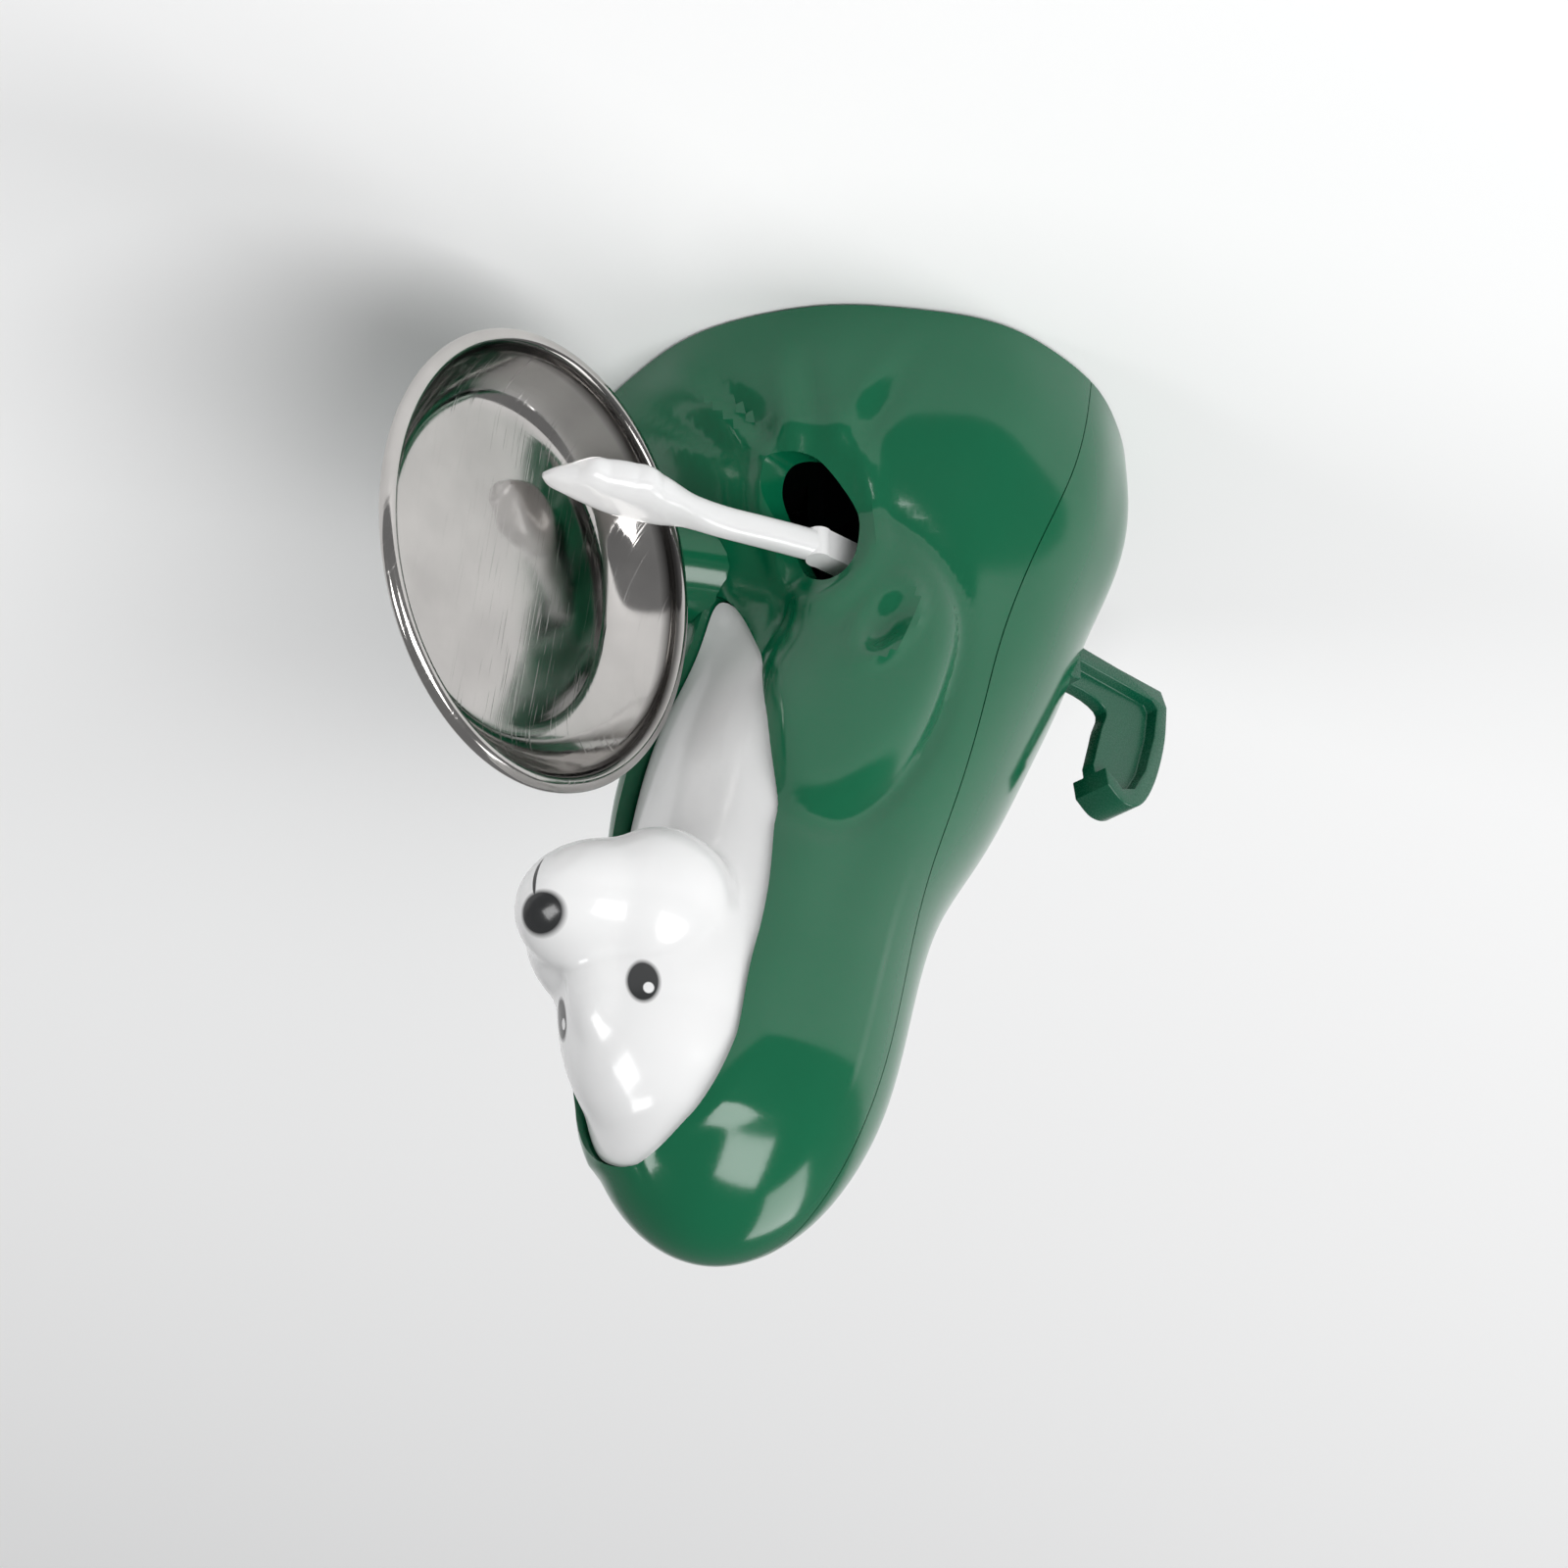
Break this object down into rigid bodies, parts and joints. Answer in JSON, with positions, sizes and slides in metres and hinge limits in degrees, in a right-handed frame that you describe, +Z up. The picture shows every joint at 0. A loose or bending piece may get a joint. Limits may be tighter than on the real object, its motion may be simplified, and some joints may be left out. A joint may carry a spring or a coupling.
{
  "type": "hooded dog figure with a tapped dish",
  "caption": "Hollow hooded dog figure with a steel dish in front; a rear trigger swings a white arm so that its paw taps the dish.",
  "frame": {"origin": "middle of the base plate's flat underside", "axes": "+Z up the figure, which faces -Y with its right side at -X"},
  "size_m": [0.0674, 0.119, 0.1125],
  "materials": {
    "green_abs": "glossy moulded ABS",
    "white_abs": "glossy moulded ABS",
    "black_abs": "moulded ABS",
    "stainless": "polished with fine scratches",
    "bright_steel": "drawn wire and rod",
    "zinc_steel": "zinc plated"
  },
  "bodies": {
    "casing": {"front_shell": "green_abs", "rear_cover": "green_abs", "base_plate": "green_abs", "left_sleeve": "green_abs", "face_insert": "white_abs", "dish": "stainless", "dish_stud": "stainless", "mechanism_bracket": "black_abs", "arm_pivot_pin": "bright_steel", "trigger_pivot_pin": "bright_steel", "arm_return_spring": "bright_steel", "left_sleeve_screw": "zinc_steel", "casing_screw_left": "zinc_steel", "casing_screw_right": "zinc_steel", "bracket_screw_front": "zinc_steel", "bracket_screw_rear": "zinc_steel", "base_screw_front": "zinc_steel", "base_screw_rear_left": "zinc_steel", "base_screw_rear_right": "zinc_steel"},
    "trigger_lever": {"trigger": "green_abs"},
    "arm": {"striker_arm": "white_abs"}
  },
  "joints": [
    {"name": "trigger_press", "type": "hinge", "parent": "casing", "child": "trigger_lever", "pos_m": [-0.012, 0.01, 0.0305], "axis": [-1, 0, 0], "range_deg": [0, 10], "stiffness_Nm_per_rad": 0.01, "springref_deg": -17.19},
    {"name": "arm_swing", "type": "hinge", "parent": "casing", "child": "arm", "pos_m": [-0.0145, -0.006, 0.0275], "axis": [0, 0, -1], "range_deg": [0, 11], "deforming": ["arm_return_spring"]}
  ],
  "couplings": [
    {"joint": "arm_swing", "follows": "trigger_press", "ratio": 1.07}
  ]
}
